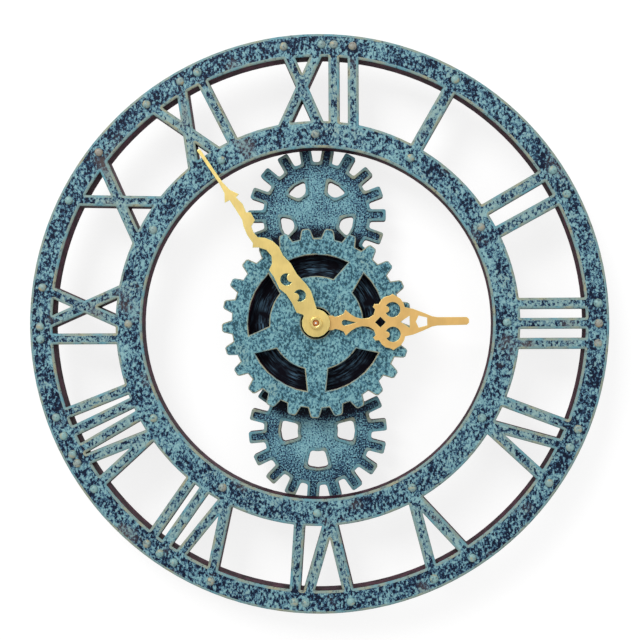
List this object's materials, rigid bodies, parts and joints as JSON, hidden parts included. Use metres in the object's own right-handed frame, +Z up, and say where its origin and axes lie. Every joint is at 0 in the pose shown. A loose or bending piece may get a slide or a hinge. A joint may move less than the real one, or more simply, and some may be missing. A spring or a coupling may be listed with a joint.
{
  "type": "skeleton wall clock",
  "caption": "Round skeleton wall clock: open numeral ring, three fixed decorative gears, two hands and a battery quartz movement behind.",
  "frame": {"origin": "hand axis on the wall plane, at the back face of the movement housing", "axes": "+Z up towards 12, +X towards 3 as seen from the front, +Y into the wall, so the dial faces -Y"},
  "size_m": [0.3, 0.0332, 0.3],
  "materials": {
    "dial_board": "hammered verdigris paint on routed board",
    "gear_board": "hammered verdigris paint on routed board",
    "backing": "dark blue brushed paint",
    "rivet": "aged green paint over copper",
    "hand_metal": "satin gold",
    "brass": "turned",
    "steel": "plain",
    "movement_plastic": "fine grain",
    "frame_plastic": "moulded",
    "wheel_plastic": "moulded",
    "knob_plastic": "moulded",
    "rubber": "plain",
    "battery_jacket": "plain jacket",
    "circuit_resin": "lacquered",
    "chip_resin": "glossy",
    "copper_wire": "enamelled"
  },
  "bodies": {
    "root": {"dial_ring": "dial_board", "outer_rivets": "rivet", "inner_rivets": "rivet", "center_gear": "gear_board", "upper_gear": "gear_board", "lower_gear": "gear_board", "backing_disc": "backing", "frame_screws": "steel", "movement_case": "movement_plastic", "movement_cover": "movement_plastic", "rubber_gasket": "rubber", "shaft_washer": "brass", "shaft_nut": "brass", "middle_plate": "frame_plastic", "contact_positive": "steel", "contact_negative": "steel", "circuit_board": "circuit_resin", "driver_chip": "chip_resin", "quartz_crystal": "steel", "stator": "steel", "coil_bobbin": "frame_plastic", "coil_winding": "copper_wire"},
    "hour": {"hour_hand": "hand_metal", "hour_wheel": "wheel_plastic"},
    "minute": {"minute_hand": "hand_metal", "hand_nut": "brass", "minute_arbor": "brass"},
    "setting": {"minute_wheel": "wheel_plastic", "setting_knob": "knob_plastic"},
    "second": {"second_wheel": "wheel_plastic"},
    "third": {"third_wheel": "wheel_plastic"},
    "center": {"center_wheel": "wheel_plastic"},
    "step": {"step_wheel": "wheel_plastic"},
    "rotor": {"rotor_pinion": "wheel_plastic", "rotor_magnet": "steel"},
    "cell": {"battery": "battery_jacket"}
  },
  "joints": [
    {"name": "minute_turn", "type": "hinge", "parent": "root", "child": "minute", "pos_m": [0, 0, 0], "axis": [0, 1, 0], "continuous": true},
    {"name": "hour_turn", "type": "hinge", "parent": "root", "child": "hour", "pos_m": [0, 0, 0], "axis": [0, 1, 0], "continuous": true},
    {"name": "setting_turn", "type": "hinge", "parent": "root", "child": "setting", "pos_m": [0.00985, 0, 0.00174], "axis": [0, 1, 0], "continuous": true},
    {"name": "second_turn", "type": "hinge", "parent": "root", "child": "second", "pos_m": [0, 0, 0], "axis": [0, 1, 0], "continuous": true},
    {"name": "third_turn", "type": "hinge", "parent": "root", "child": "third", "pos_m": [-0.00842, 0, 0.00486], "axis": [0, 1, 0], "continuous": true},
    {"name": "center_turn", "type": "hinge", "parent": "root", "child": "center", "pos_m": [0, 0, 0], "axis": [0, 1, 0], "continuous": true},
    {"name": "step_turn", "type": "hinge", "parent": "root", "child": "step", "pos_m": [0.00255, 0, 0.00953], "axis": [0, 1, 0], "continuous": true},
    {"name": "rotor_turn", "type": "hinge", "parent": "root", "child": "rotor", "pos_m": [0.0057, 0, 0.01499], "axis": [0, 1, 0], "continuous": true},
    {"name": "battery_slide", "type": "slide", "parent": "root", "child": "cell", "axis": [0, 1, 0], "range_m": [0, 0.02]}
  ],
  "couplings": [
    {"joint": "hour_turn", "follows": "minute_turn", "ratio": 0.083333},
    {"joint": "setting_turn", "follows": "minute_turn", "ratio": -0.33333},
    {"joint": "third_turn", "follows": "second_turn", "ratio": -0.125},
    {"joint": "center_turn", "follows": "second_turn", "ratio": 0.016667},
    {"joint": "step_turn", "follows": "second_turn", "ratio": -6},
    {"joint": "rotor_turn", "follows": "second_turn", "ratio": 30}
  ]
}
